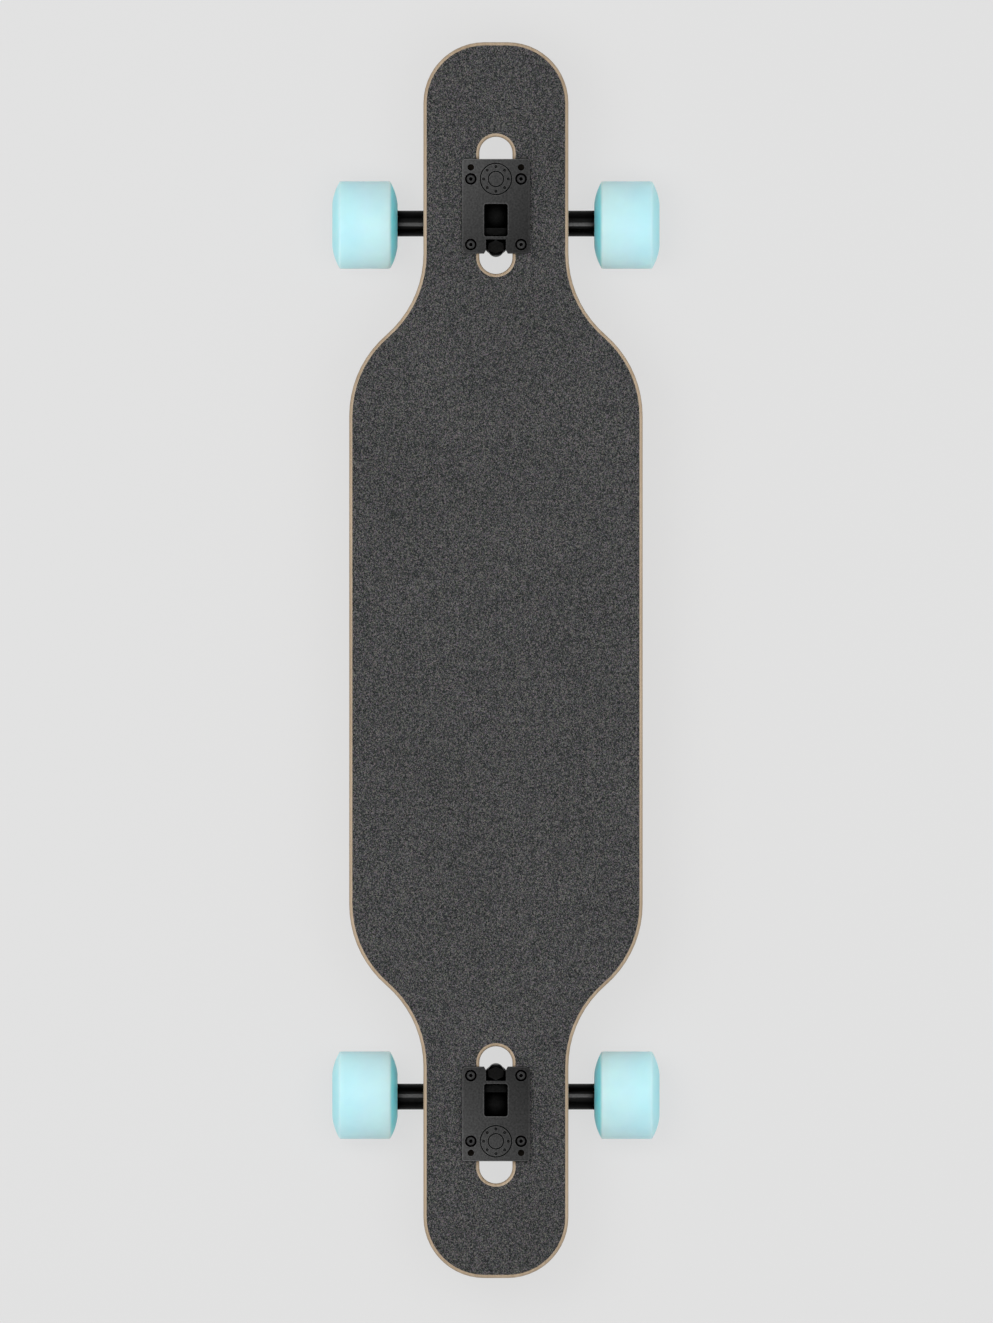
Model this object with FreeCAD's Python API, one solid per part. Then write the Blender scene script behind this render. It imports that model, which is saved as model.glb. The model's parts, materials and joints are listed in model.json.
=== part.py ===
import FreeCAD, Part
import math
import os

# Drop-through longboard skateboard, in millimetres.
# +X is the rolling direction towards the nose, +Y is left and +Z is up.
# The origin is on the ground, under the middle of the deck.
# The front truck and its wheels are modelled once. The rear ones are the same pieces turned
# half a turn about the vertical axis, because the board is the same at both ends.

Vector = FreeCAD.Vector

# Deck and grip sheet
deck_length = 1016.0
deck_width = 241.3
deck_thickness = 11.0
deck_edge_radius = 2.6
body_straight_length = 401.6
neck_width = 119.2
shoulder_radius = 88.0
neck_radius = 88.4
nose_corner_radius = 50.0
slot_length = 112.8
slot_width = 27.2
slot_offset = 15.5
grip_thickness = 0.8
grip_edge_margin = 0.1
grip_plate_gap = 0.1

# Wheel
wheel_diameter = 72.0
wheel_width = 53.6
core_offset = 4.9
tread_width = 40.8
tread_edge_radius = 1.2
lip_radius = 17.0
lip_rounding = 1.2
lip_crown = 0.7
core_cover = 1.0
core_wall = 5.5
core_rib_height = 2.1
core_rib_width = 5.0
core_overhang = 1.5
core_step_radius = 9.6
core_face_groove_width = 1.4
core_face_groove_depth = 1.2

# Ball bearing, two in each wheel
bearing_outer_diameter = 22.0
bearing_bore = 8.0
bearing_width = 7.0
bearing_race_chamfer = 0.35
ball_count = 7
ball_diameter = 3.97
ball_clearance = 0.05
race_gap = 1.4
shield_gap = 0.35
shield_thickness = 0.35
shield_depth = 0.4
cage_thickness = 1.5
cage_gap = 0.25
spacer_length = 10.0
spacer_radius = 6.0

# Truck layout, measured from the axle line
axle_setback = 149.6
truck_height = 69.0
steering_angle = 45.0
rake = 4.0
ring_distance = 32.0

# Baseplate
plate_inner_margin = 7.4
plate_outer_margin = 6.9
plate_side_margin = 7.16
plate_thickness = 7.0
plate_inner_corner_radius = 3.4
plate_outer_corner_radius = 1.8
plate_edge_radius = 1.4
mount_hole_pitch_x = 53.98
spare_hole_pitch_x = 63.5
mount_hole_pitch_y = 41.28
mount_hole_first_reach = 16.9
mount_hole_radius = 2.75
counterbore_gap = 0.6
counterbore_depth = 4.4
window_outer_reach = 16.6
window_inner_reach = 10.1
window_step_reach = 3.3
window_width = 19.4
window_corner_radius = 2.0
window_rim_bevel = 0.8
window_deep = 12.5
window_shallow = 4.0
window_shell_gap = 1.5
window_floor = 2.0
notch_rib = 2.4
notch_width = 16.5
notch_flare_width = 1.5
notch_flare_length = 2.8
leg_width = 13.2
leg_back_reach = 26.3
leg_arm_gap = 3.3
leg_thickness_top = 14.0
seat_boss_gap = 0.8
pivot_boss_wall = 1.68
pivot_boss_floor = 2.2
pivot_boss_rounding = 5.0
medallion_outer_radius = 13.4
medallion_inner_radius = 6.8
medallion_groove_width = 1.1
medallion_groove_depth = 0.9
medallion_dimple_count = 8
medallion_dimple_radius = 1.3

# Kingpin, bushings and their washers
kingpin_radius = 4.76
kingpin_head_across_flats = 13.0
kingpin_head_height = 7.0
kingpin_head_seat = 47.6
kingpin_tip_length = 2.5
kingpin_nut_across_flats = 14.3
kingpin_nut_height = 8.0
kingpin_chamfer = 0.8
bushing_radius = 12.4
bushing_waist_bulge = 0.9
boardside_bushing_height = 16.0
roadside_bushing_height = 14.0
roadside_bushing_tip_radius = 10.2
bushing_edge_chamfer = 0.9
bushing_washer_radius = 12.4
bushing_washer_thickness = 1.5
pivot_cup_wall = 2.0
pivot_cup_lip = 0.9
pivot_cup_lip_width = 1.1
pivot_mouth_gap = 0.9
pivot_cup_floor = 1.5

# Hanger and axle
hanger_width = 180.0
hanger_arm_radius = 10.7
hanger_arm_lead = 1.2
hanger_shoulder_length = 4.0
hanger_shoulder_radius = 8.0
hanger_arm_edge_radius = 1.0
ring_thickness = 8.0
ring_hole_radius = 7.5
ring_seat_depth = 1.5
ring_seat_wall = 3.1
ring_seat_gap = 0.5
web_thickness = 9.0
web_foot_half_width = 52.0
web_foot_reach = 6.0
web_edge_radius = 2.5
nub_root_radius = 8.2
nub_tip_radius = 5.8
nub_root_reach = 4.0
nub_neck_gap = 0.5
nub_engagement = 7.5
axle_radius = 4.0
axle_tip_length = 1.5
axle_chamfer = 0.8
speed_washer_radius = 6.3
speed_washer_thickness = 1.0
axle_nut_across_flats = 12.7
axle_nut_height = 5.2
axle_nut_collar_height = 1.8
axle_nut_collar_radius = 5.6

# Deck hardware
mount_bolt_gap = 0.35
mount_bolt_head_radius = 4.3
mount_bolt_head_height = 3.2
mount_bolt_head_dome = 1.4
mount_bolt_socket_across_flats = 3.0
mount_bolt_socket_depth = 2.0
mount_bolt_tip_length = 1.5
mount_nut_across_flats = 9.5
mount_nut_height = 4.2
mount_nut_collar_height = 1.6
mount_nut_collar_radius = 4.1

# Clearances and cutting
thread_clearance = 0.04
press_clearance = 0.02
slip_clearance = 0.15
running_clearance = 0.3
overrun = 5.0

# Levels and directions that follow from the sizes above
axle_z = wheel_diameter / 2
plate_top_z = axle_z + truck_height
deck_top_z = plate_top_z - plate_thickness
deck_bottom_z = deck_top_z - deck_thickness
steer = math.radians(steering_angle)
along_axis = Vector(math.cos(steer), 0, math.sin(steer))
along_kingpin = Vector(math.sin(steer), 0, -math.cos(steer))
side = Vector(0, 1, 0)
up = Vector(0, 0, 1)
axle_x = deck_length / 2 - axle_setback
axle_centre = Vector(axle_x, 0, axle_z)
steering_centre = axle_centre - along_kingpin * rake
slot_centre_x = axle_x + slot_offset

# Bearing, core and axle sizes that follow from the sizes above
ball_pitch_diameter = (bearing_outer_diameter + bearing_bore) / 2
outer_race_shoulder_radius = ball_pitch_diameter / 2 + race_gap
inner_race_shoulder_radius = ball_pitch_diameter / 2 - race_gap
shield_inner_radius = inner_race_shoulder_radius + shield_gap
cage_inner_radius = (ball_pitch_diameter - cage_thickness) / 2
cage_outer_radius = (ball_pitch_diameter + cage_thickness) / 2
cage_width = bearing_width - 2 * (shield_depth + shield_thickness + cage_gap)
core_radius = bearing_outer_diameter / 2 + core_wall
core_rib_radius = core_radius + core_rib_height
core_length = spacer_length + 2 * (bearing_width + core_overhang)
core_face_groove_radius = (bearing_outer_diameter + core_wall) / 2
recess_floor_radius = core_radius - core_cover
bearing_inner_y = hanger_width / 2 + speed_washer_thickness
bearing_centre_y = bearing_inner_y + bearing_width + spacer_length / 2
bearing_outer_y = bearing_centre_y + spacer_length / 2 + bearing_width
wheel_centre_y = bearing_centre_y + core_offset
axle_nut_y = bearing_outer_y + speed_washer_thickness
axle_length = 2 * (axle_nut_y + axle_nut_height + axle_nut_collar_height + axle_tip_length)

# Truck sizes that follow from the sizes above
mount_hole_first_x = axle_x - mount_hole_first_reach
plate_inner_x = mount_hole_first_x - plate_inner_margin
plate_outer_x = mount_hole_first_x + spare_hole_pitch_x + plate_outer_margin
plate_length = plate_outer_x - plate_inner_x
plate_width = mount_hole_pitch_y + 2 * plate_side_margin
notch_end_x = axle_x - window_inner_reach - notch_rib
counterbore_radius = mount_bolt_head_radius + counterbore_gap
mount_bolt_radius = mount_hole_radius - mount_bolt_gap
ring_seat_level = ring_thickness / 2 - ring_seat_depth
ring_radius = bushing_radius + ring_seat_gap + ring_seat_wall
seat_drop = ring_seat_level + boardside_bushing_height + bushing_washer_thickness
seat_boss_radius = slot_width / 2 - seat_boss_gap
leg_front_gap = hanger_arm_radius - rake + leg_arm_gap
pivot_boss_mouth = hanger_arm_radius + pivot_mouth_gap + pivot_cup_lip
nub_neck_reach = pivot_boss_mouth - pivot_cup_lip - nub_neck_gap
nub_tip_reach = pivot_boss_mouth + nub_engagement
pivot_cup_inner_radius = nub_tip_radius + running_clearance
pivot_cup_outer_radius = pivot_cup_inner_radius + pivot_cup_wall
pivot_cup_end = nub_tip_reach + running_clearance + pivot_cup_floor
pivot_boss_radius = pivot_cup_outer_radius + press_clearance + pivot_boss_wall
pivot_boss_end = pivot_cup_end + pivot_boss_floor


def spot(along, across):
    """Point in the truck's middle plane: along the steering axis and along the kingpin direction."""
    return steering_centre + along_axis * along + along_kingpin * across


def kingpin_spot(distance):
    """Point on the kingpin's axis, measured from the middle of the hanger's ring towards the nut."""
    return spot(ring_distance, distance)


def rod(radius, start, end):
    """Round bar between two points."""
    return Part.makeCylinder(radius, (end - start).Length, start, end - start)


def pipe(outer_radius, inner_radius, start, end):
    """Round tube between two points."""
    return rod(outer_radius, start, end).cut(rod(inner_radius, start, end))


def box(low, high):
    """Block between two opposite corners."""
    span = high - low
    return Part.makeBox(span.x, span.y, span.z, low)


def frustum(start_radius, end_radius, start, end):
    """Cone between two points."""
    return Part.makeCone(start_radius, end_radius, (end - start).Length, start, end - start)


def hexagon(across_flats, start, end, first):
    """Hexagonal bar between two points, with its first corner in a direction square to the bar."""
    second = (end - start).normalize().cross(first)
    corner_radius = across_flats / math.sqrt(3)
    corners = []
    for number in range(7):
        turn = math.radians(60 * number)
        corners.append(start + (first * math.cos(turn) + second * math.sin(turn)) * corner_radius)
    return Part.Face(Part.makePolygon(corners)).extrude(end - start)


def chain(points):
    """Straight profile edges through points, without closing them."""
    return [Part.LineSegment(a, b).toShape() for a, b in zip(points, points[1:])]


def turned(edges, base, direction):
    """Solid of revolution from a closed profile of radius along X and distance along Z, set on an axis."""
    face = Part.Face(Part.Wire(Part.__sortEdges__(edges)))
    shape = face.revolve(Vector(0, 0, 0), up, 360)
    shape.Placement = FreeCAD.Placement(base, FreeCAD.Rotation(up, direction))
    return shape


def joined(shapes):
    """One solid from overlapping shapes, joined one after the other."""
    whole = shapes[0]
    for shape in shapes[1:]:
        whole = whole.fuse(shape)
    return whole


def carved(shape, cuts):
    """A shape with each of the cuts taken out of it, one after the other."""
    for cut in cuts:
        shape = shape.cut(cut)
    return shape


def mirror_point(point, sign_x, sign_y):
    """Point of the first quarter moved to another quarter of the plan."""
    return Vector(point.x * sign_x, point.y * sign_y, point.z)


def deck_outline(inset, level):
    """Plan outline of the deck, drawn inside the deck's edge by the inset, at a height."""
    end_x = deck_length / 2 - inset
    body_y = deck_width / 2 - inset
    neck_y = neck_width / 2 - inset
    shoulder = shoulder_radius - inset
    hollow = neck_radius + inset
    corner = nose_corner_radius - inset
    turn = math.acos(1 - (body_y - neck_y) / (shoulder + hollow))
    shoulder_x = body_straight_length / 2
    neck_x = shoulder_x + (shoulder + hollow) * math.sin(turn)

    def on_shoulder(angle):
        return Vector(
            shoulder_x + shoulder * math.sin(angle), body_y - shoulder * (1 - math.cos(angle)), level
        )

    def on_hollow(angle):
        return Vector(neck_x - hollow * math.sin(angle), neck_y + hollow * (1 - math.cos(angle)), level)

    def on_corner(angle):
        return Vector(
            end_x - corner * (1 - math.sin(angle)), neck_y - corner * (1 - math.cos(angle)), level
        )

    edges = []
    for sign_x in (1, -1):
        for sign_y in (1, -1):

            def place(point):
                return mirror_point(point, sign_x, sign_y)

            for curve, angle in ((on_shoulder, turn), (on_hollow, turn), (on_corner, math.pi / 2)):
                middle = place(curve(angle / 2))
                edges.append(Part.Arc(place(curve(0)), middle, place(curve(angle))).toShape())
            edges.append(Part.LineSegment(place(on_hollow(0)), place(on_corner(0))).toShape())
    first = on_shoulder(0)
    tip = on_corner(math.pi / 2)
    for sign in (1, -1):
        ends = mirror_point(first, 1, sign), mirror_point(first, -1, sign)
        edges.append(Part.LineSegment(*ends).toShape())
        ends = mirror_point(tip, sign, 1), mirror_point(tip, sign, -1)
        edges.append(Part.LineSegment(*ends).toShape())
    return Part.Wire(Part.__sortEdges__(edges))


def rounded_rectangle(low_x, high_x, half_y, low_corner, high_corner, level):
    """Plan outline of a rectangle with round corners, centred on the board's long axis."""
    edges = []
    for sign in (1, -1):
        start = Vector(low_x + low_corner, half_y * sign, level)
        end = Vector(high_x - high_corner, half_y * sign, level)
        edges.append(Part.LineSegment(start, end).toShape())
    for end_x, inwards, corner in ((low_x, 1, low_corner), (high_x, -1, high_corner)):
        bend = corner * (1 - math.sqrt(0.5))
        for sign in (1, -1):
            start = Vector(end_x + corner * inwards, half_y * sign, level)
            middle = Vector(end_x + bend * inwards, (half_y - bend) * sign, level)
            end = Vector(end_x, (half_y - corner) * sign, level)
            edges.append(Part.Arc(start, middle, end).toShape())
        if half_y > corner:
            start = Vector(end_x, half_y - corner, level)
            edges.append(Part.LineSegment(start, Vector(end_x, corner - half_y, level)).toShape())
    return Part.Wire(Part.__sortEdges__(edges))


def slot_outline(grow, level):
    """Plan outline of the front drop-through slot, drawn outside the slot's wall by the growth."""
    half_length = slot_length / 2 + grow
    half_width = slot_width / 2 + grow
    low_x = slot_centre_x - half_length
    high_x = slot_centre_x + half_length
    return rounded_rectangle(low_x, high_x, half_width, half_width, half_width, level)


def plate_outline(grow, level):
    """Plan outline of the front baseplate, drawn outside it by the growth."""
    low_x = plate_inner_x - grow
    high_x = plate_outer_x + grow
    low_corner = plate_inner_corner_radius + grow
    high_corner = plate_outer_corner_radius + grow
    return rounded_rectangle(low_x, high_x, plate_width / 2 + grow, low_corner, high_corner, level)


def block(outline, height):
    """Upright block on a plan outline."""
    return Part.Face(outline).extrude(Vector(0, 0, height))


def turned_half(shape, centre):
    """Copy of a shape turned half a turn about a vertical line."""
    copy = shape.copy()
    copy.rotate(centre, up, 180)
    return copy


def both_ends(shape):
    """The front shape and its copy at the rear of the board."""
    return [shape, turned_half(shape, Vector(0, 0, 0))]


def mount_holes_x():
    """Distances along the board of the two rows of bolts at the front truck."""
    return mount_hole_first_x, mount_hole_first_x + mount_hole_pitch_x


def mount_points(level):
    """The four bolt places of the front truck at a height."""
    half_y = mount_hole_pitch_y / 2
    return [Vector(x, y, level) for x in mount_holes_x() for y in (half_y, -half_y)]


def edges_at(shape, level):
    """The edges of a shape that lie flat at one height."""
    near = deck_edge_radius / 100
    found = []
    for edge in shape.Edges:
        limits = edge.BoundBox
        if abs(limits.ZMin - level) < near and abs(limits.ZMax - level) < near:
            found.append(edge)
    return found


def deck():
    """Laminated deck with round edges, a slot for each truck and its bolt holes."""
    wood = block(deck_outline(0, deck_bottom_z), deck_thickness)
    wood = carved(wood, both_ends(block(slot_outline(0, deck_bottom_z), deck_thickness)))
    rims = edges_at(wood, deck_bottom_z) + edges_at(wood, deck_top_z)
    wood = wood.makeFillet(deck_edge_radius, rims)
    holes = [
        rod(mount_hole_radius, point - up * overrun, point + up * (deck_thickness + overrun))
        for point in mount_points(deck_bottom_z)
    ]
    for hole in holes:
        wood = carved(wood, both_ends(hole))
    return wood


def grip_sheet():
    """Grip sheet, cut back from the deck's round edges and cut out round each baseplate."""
    inset = deck_edge_radius + grip_edge_margin
    sheet = block(deck_outline(inset, deck_top_z), grip_thickness)
    opening = block(slot_outline(inset, deck_top_z), grip_thickness)
    opening = opening.fuse(block(plate_outline(grip_plate_gap, deck_top_z), grip_thickness))
    return carved(sheet, both_ends(opening))


def baseplate_leg():
    """Middle web of the baseplate, from the flange down to the pivot boss, round at its back."""
    seat_edge = ring_distance - seat_boss_radius
    flange_level = plate_top_z - plate_thickness / 2
    seat_top = spot(ring_distance + seat_boss_radius, -seat_drop)
    back_x = axle_x - leg_back_reach
    leg_bottom = spot(-pivot_boss_end, -pivot_boss_radius)
    points = [
        Vector(seat_top.x + leg_thickness_top, 0, flange_level),
        seat_top,
        spot(seat_edge, -seat_drop),
        spot(seat_edge - seat_boss_radius / 2, -leg_front_gap),
        spot(-pivot_boss_mouth, -leg_front_gap),
        spot(-pivot_boss_mouth, 0),
        spot(-pivot_boss_end, 0),
        leg_bottom,
        Vector(back_x, 0, leg_bottom.z + pivot_boss_radius),
        Vector(back_x, 0, deck_bottom_z),
        Vector(plate_inner_x, 0, flange_level),
    ]
    half = leg_width / 2
    outline = Part.makePolygon([point - side * half for point in points + points[:1]])
    web = Part.Face(outline).extrude(side * leg_width)
    plan = rounded_rectangle(back_x, plate_outer_x, half, half, half, 0)
    return web.common(block(plan, plate_top_z))


def medallion_grooves():
    """Two ring grooves and a circle of dimples, cut in the baseplate's top."""
    low = Vector(mount_hole_first_x + mount_hole_pitch_x, 0, plate_top_z - medallion_groove_depth)
    high = low + up * overrun
    cuts = []
    for radius in (medallion_outer_radius, medallion_inner_radius):
        cuts.append(pipe(radius, radius - medallion_groove_width, low, high))
    middle_radius = (medallion_outer_radius + medallion_inner_radius) / 2
    for number in range(medallion_dimple_count):
        turn = math.radians(360 * number / medallion_dimple_count)
        reach = Vector(math.cos(turn), math.sin(turn), 0) * middle_radius
        cuts.append(rod(medallion_dimple_radius, low + reach, high + reach))
    return cuts


def window_outline(reach, grow, level):
    """Plan outline of the pocket from its inner reach, drawn outside its wall by the growth."""
    low_x = axle_x - reach - grow
    high_x = axle_x + window_outer_reach + grow
    corner = window_corner_radius + grow
    return rounded_rectangle(low_x, high_x, window_width / 2 + grow, corner, corner, level)


def window_rim():
    """Funnel that bevels the pocket's rim, from inside its wall to above the flange."""
    wall_top = plate_top_z - window_rim_bevel
    narrow = window_outline(window_inner_reach, -window_rim_bevel, wall_top - window_rim_bevel)
    wide = window_outline(window_inner_reach, 2 * window_rim_bevel, wall_top + 2 * window_rim_bevel)
    return Part.makeLoft([narrow, wide], True, True)


def window_cuts():
    """Two-level pocket in the baseplate's top, over the kingpin's boss, with a bevelled rim."""
    whole = window_outline(window_inner_reach, 0, plate_top_z - window_shallow)
    deep = window_outline(window_step_reach, 0, plate_top_z - window_deep)
    return [block(whole, window_shallow + overrun), block(deep, window_deep + overrun), window_rim()]


def window_shell():
    """Block under the flange that the two-level pocket is cut in, inside the deck's slot."""
    half = slot_width / 2 - window_shell_gap
    wall = half - window_width / 2
    low_x = axle_x - window_step_reach - wall
    high_x = axle_x + window_outer_reach + wall
    corner = window_corner_radius + wall
    bottom = plate_top_z - window_deep - window_floor
    outline = rounded_rectangle(low_x, high_x, half, corner, corner, bottom)
    return block(outline, window_deep + window_floor - plate_edge_radius)


def notch_cut():
    """Notch in the flange's inner end that lets the kingpin's head in, with slanted corners."""
    low = deck_top_z - overrun
    high = plate_top_z + overrun
    half = notch_width / 2
    wide = half + notch_flare_width
    end = plate_inner_x - overrun
    points = [
        Vector(notch_end_x, -half, low),
        Vector(notch_end_x, half, low),
        Vector(plate_inner_x + notch_flare_length, half, low),
        Vector(plate_inner_x, wide, low),
        Vector(end, wide, low),
        Vector(end, -wide, low),
        Vector(plate_inner_x, -wide, low),
        Vector(plate_inner_x + notch_flare_length, -half, low),
    ]
    return Part.Face(Part.makePolygon(points + points[:1])).extrude(Vector(0, 0, high - low))


def pivot_arm():
    """Leg of the baseplate with the round-ended boss that holds the pivot cup."""
    seat_radius = pivot_cup_outer_radius + press_clearance
    seat_floor = pivot_cup_end
    bend_start = pivot_boss_end - pivot_boss_rounding
    flat_radius = pivot_boss_radius - pivot_boss_rounding
    bend = pivot_boss_rounding * math.sqrt(0.5)
    start = Vector(pivot_boss_radius, 0, bend_start)
    end = Vector(flat_radius, 0, pivot_boss_end)
    corners = [
        end,
        Vector(0, 0, pivot_boss_end),
        Vector(0, 0, seat_floor),
        Vector(seat_radius, 0, seat_floor),
        Vector(seat_radius, 0, pivot_boss_mouth),
        Vector(pivot_boss_radius, 0, pivot_boss_mouth),
        start,
    ]
    edges = chain(corners)
    edges.append(Part.Arc(start, Vector(flat_radius + bend, 0, bend_start + bend), end).toShape())
    boss = turned(edges, steering_centre, -along_axis)
    seat = rod(seat_radius, spot(overrun - pivot_boss_mouth, 0), spot(-seat_floor, 0))
    return baseplate_leg().cut(seat).fuse(boss)


def plate_holes():
    """Holes through the flange: four with counterbores for the bolts, and two spare ones."""
    cuts = []
    spare_x = mount_hole_first_x + spare_hole_pitch_x
    half_y = mount_hole_pitch_y / 2
    bolt_places = mount_points(plate_top_z)
    spare_places = [Vector(spare_x, half_y * sign, plate_top_z) for sign in (1, -1)]
    for point in bolt_places + spare_places:
        cuts.append(rod(mount_hole_radius, point - up * (plate_thickness + overrun), point + up * overrun))
    for point in bolt_places:
        cuts.append(rod(counterbore_radius, point - up * counterbore_depth, point + up * overrun))
    return cuts


def baseplate():
    """Cast baseplate: flange, kingpin boss, leg and pivot boss in one piece."""
    flange = block(plate_outline(0, deck_top_z), plate_thickness)
    flange = flange.makeFillet(plate_edge_radius, edges_at(flange, plate_top_z))
    boss_start = kingpin_spot(-seat_drop)
    head_seat = kingpin_spot(-kingpin_head_seat)
    boss = rod(seat_boss_radius, boss_start, head_seat)
    ceiling_low = Vector(plate_inner_x - plate_length, -plate_width, plate_top_z - plate_edge_radius)
    ceiling_high = Vector(plate_outer_x + plate_length, plate_width, plate_top_z + truck_height)
    low_parts = joined([pivot_arm(), boss, window_shell()])
    plate = flange.fuse(low_parts.cut(box(ceiling_low, ceiling_high)))
    head_room = kingpin_head_across_flats / math.sqrt(3) + running_clearance
    bore = rod(kingpin_radius + slip_clearance, boss_start + along_kingpin * overrun, head_seat)
    head_path = rod(head_room, head_seat, head_seat - along_kingpin * plate_length)
    cuts = [bore, head_path, notch_cut()] + plate_holes() + window_cuts() + medallion_grooves()
    return carved(plate, cuts).removeSplitter()


def pivot_cup():
    """Soft cup between the hanger's nub and the baseplate's pivot boss."""
    inner = pivot_cup_inner_radius
    outer = pivot_cup_outer_radius
    mouth = spot(-pivot_boss_mouth, 0)
    lip_top = mouth + along_axis * pivot_cup_lip
    cup = rod(outer, lip_top, spot(-pivot_cup_end, 0))
    cup = cup.fuse(rod(outer + pivot_cup_lip_width, lip_top, mouth))
    ball_centre = spot(-nub_tip_reach + nub_tip_radius, 0)
    hollow = rod(inner, lip_top + along_axis * overrun, ball_centre)
    return carved(cup, [hollow, Part.makeSphere(inner, ball_centre)])


def kingpin():
    """Hexagon-headed kingpin bolt."""
    seat = kingpin_spot(-kingpin_head_seat)
    nut_end = kingpin_spot(roadside_stack() + kingpin_nut_height)
    tip = nut_end + along_kingpin * kingpin_tip_length
    chamfer_start = tip - along_kingpin * kingpin_chamfer
    head = hexagon(kingpin_head_across_flats, seat - along_kingpin * kingpin_head_height, seat, along_axis)
    corner_radius = kingpin_head_across_flats / math.sqrt(3)
    flat_radius = kingpin_head_across_flats / 2
    head_top = seat - along_kingpin * kingpin_head_height
    bevel_end = head_top + along_kingpin * ((corner_radius - flat_radius) / 2)
    bevel = frustum(flat_radius, corner_radius, head_top, bevel_end)
    head = head.common(bevel.fuse(rod(corner_radius, bevel_end, seat)))
    shank = rod(kingpin_radius, seat, chamfer_start)
    point = frustum(kingpin_radius, kingpin_radius - kingpin_chamfer, chamfer_start, tip)
    return joined([head, shank, point]).removeSplitter()


def roadside_stack():
    """Distance from the ring's middle to the kingpin nut's inner face."""
    return ring_seat_level + roadside_bushing_height + bushing_washer_thickness


def kingpin_nut():
    """Hexagon nut that holds the bushing stack."""
    start = kingpin_spot(roadside_stack())
    end = start + along_kingpin * kingpin_nut_height
    body = hexagon(kingpin_nut_across_flats, start, end, side)
    return body.cut(rod(kingpin_radius + thread_clearance, start, end))


def bushing(base, direction, height, base_radius, tip_radius):
    """Turned soft bushing on the kingpin, with a bulged side and chamfered ends."""
    bore = kingpin_radius + slip_clearance
    chamfer = bushing_edge_chamfer
    middle_radius = (base_radius + tip_radius) / 2 + bushing_waist_bulge / 2
    points = [
        (bore, 0),
        (base_radius - chamfer, 0),
        (base_radius, chamfer),
        (tip_radius, height - chamfer),
        (tip_radius - chamfer, height),
        (bore, height),
    ]
    corners = [Vector(radius, 0, distance) for radius, distance in points]
    edges = [Part.LineSegment(corners[number], corners[number - 1]).toShape() for number in range(6)]
    middle = Vector(min(middle_radius, bushing_radius), 0, height / 2)
    if base_radius > tip_radius:
        edges[3] = Part.Arc(corners[2], middle, corners[3]).toShape()
    return turned(edges, base, direction)


def boardside_bushing():
    """Barrel bushing between the ring and the baseplate's seat."""
    base = kingpin_spot(-ring_seat_level)
    return bushing(base, -along_kingpin, boardside_bushing_height, bushing_radius, bushing_radius)


def roadside_bushing():
    """Cone bushing between the ring and the nut's washer."""
    base = kingpin_spot(ring_seat_level)
    tip = roadside_bushing_tip_radius
    return bushing(base, along_kingpin, roadside_bushing_height, bushing_radius, tip)


def bushing_washers():
    """Flat washers at the two outer ends of the bushing stack."""
    bore = kingpin_radius + slip_clearance
    inner = kingpin_spot(-seat_drop)
    outer = kingpin_spot(roadside_stack())
    return [
        pipe(bushing_washer_radius, bore, inner, inner + along_kingpin * bushing_washer_thickness),
        pipe(roadside_washer_radius(), bore, outer - along_kingpin * bushing_washer_thickness, outer),
    ]


def roadside_washer_radius():
    """Radius of the washer under the kingpin's nut, a little wider than the cone's tip."""
    return roadside_bushing_tip_radius + bushing_edge_chamfer


def hanger_web():
    """Two triangular gussets that join the ring to the arms, as one plate."""
    half = web_thickness / 2
    ring_edge = ring_radius - web_edge_radius
    outline = [
        (ring_distance, ring_edge),
        (web_foot_reach, web_foot_half_width),
        (-web_foot_reach, web_foot_half_width),
    ]
    points = [spot(along, -half) + side * across for along, across in outline]
    points += [spot(along, -half) - side * across for along, across in reversed(outline)]
    plate = Part.Face(Part.makePolygon(points + points[:1])).extrude(along_kingpin * web_thickness)
    return plate.makeFillet(web_edge_radius, [e for e in plate.Edges if is_web_corner(e)])


def is_web_corner(edge):
    """True for the short upright edges at the corners of the web plate, away from its foot."""
    middle = edge.valueAt((edge.FirstParameter + edge.LastParameter) / 2)
    reach = (middle - steering_centre).dot(along_axis)
    return abs(edge.Length - web_thickness) < web_edge_radius and reach > web_foot_reach / 2


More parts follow.
